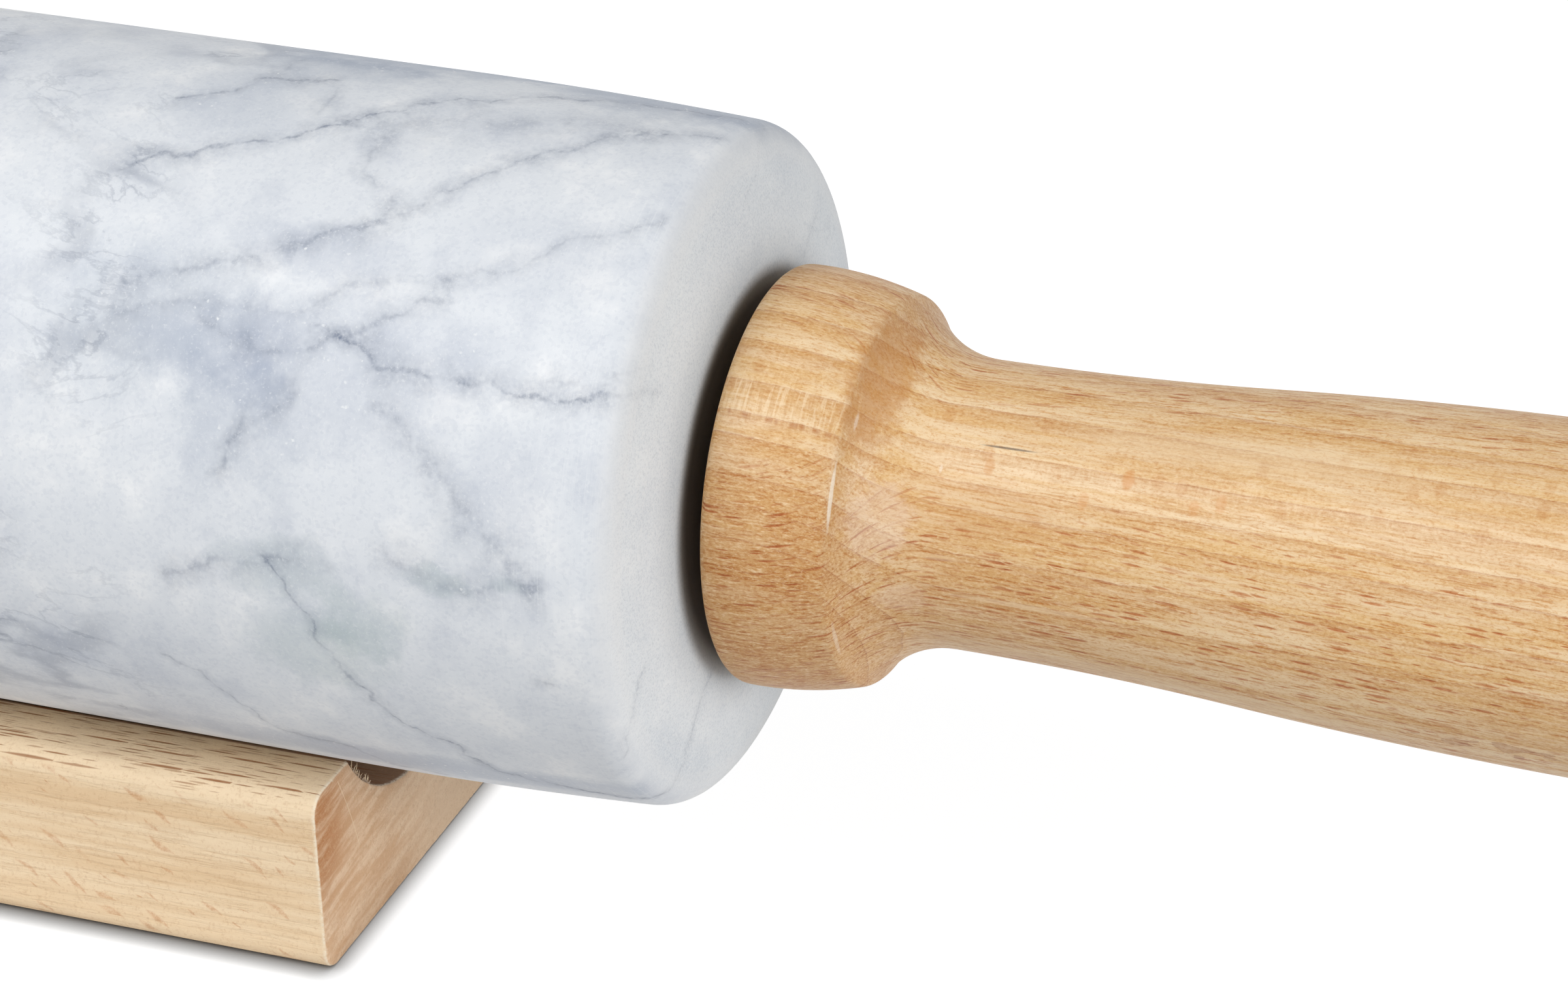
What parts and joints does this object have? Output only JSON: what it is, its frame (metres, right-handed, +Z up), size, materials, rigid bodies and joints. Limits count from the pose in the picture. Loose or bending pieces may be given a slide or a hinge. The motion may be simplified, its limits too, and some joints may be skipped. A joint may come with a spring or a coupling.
{
  "type": "marble rolling pin",
  "caption": "Marble rolling pin with turned beech handles on a steel axle, lying in a grooved beech cradle; the roller spins freely and the pin lifts off its cradle.",
  "frame": {"origin": "on the surface that the cradle stands on, under the middle of the pin", "axes": "+X along the pin's axis towards the right handle, +Y away from the person using it, +Z up"},
  "size_m": [0.457, 0.06, 0.0751],
  "materials": {
    "marble": "polished pale grey marble with thin dark veins",
    "handle_beech": "turned beech, satin lacquer",
    "stand_beech": "planed beech, unlacquered",
    "steel": "drawn rod",
    "nylon": "moulded nylon",
    "brass": "turned brass"
  },
  "bodies": {
    "cradle": {"stand": "stand_beech"},
    "handles": {"axle_rod": "steel", "left_washer": "nylon", "right_washer": "nylon", "left_insert": "brass", "right_insert": "brass", "left_handle": "handle_beech", "right_handle": "handle_beech"},
    "roller": {"marble_roller": "marble", "left_bushing": "nylon", "right_bushing": "nylon"}
  },
  "joints": [
    {"name": "pin_lift", "type": "slide", "parent": "cradle", "child": "handles", "axis": [0, 0, 1], "range_m": [0, 0.1]},
    {"name": "roller_spin", "type": "hinge", "parent": "handles", "child": "roller", "pos_m": [0, 0, 0.04509], "axis": [1, 0, 0], "continuous": true}
  ]
}
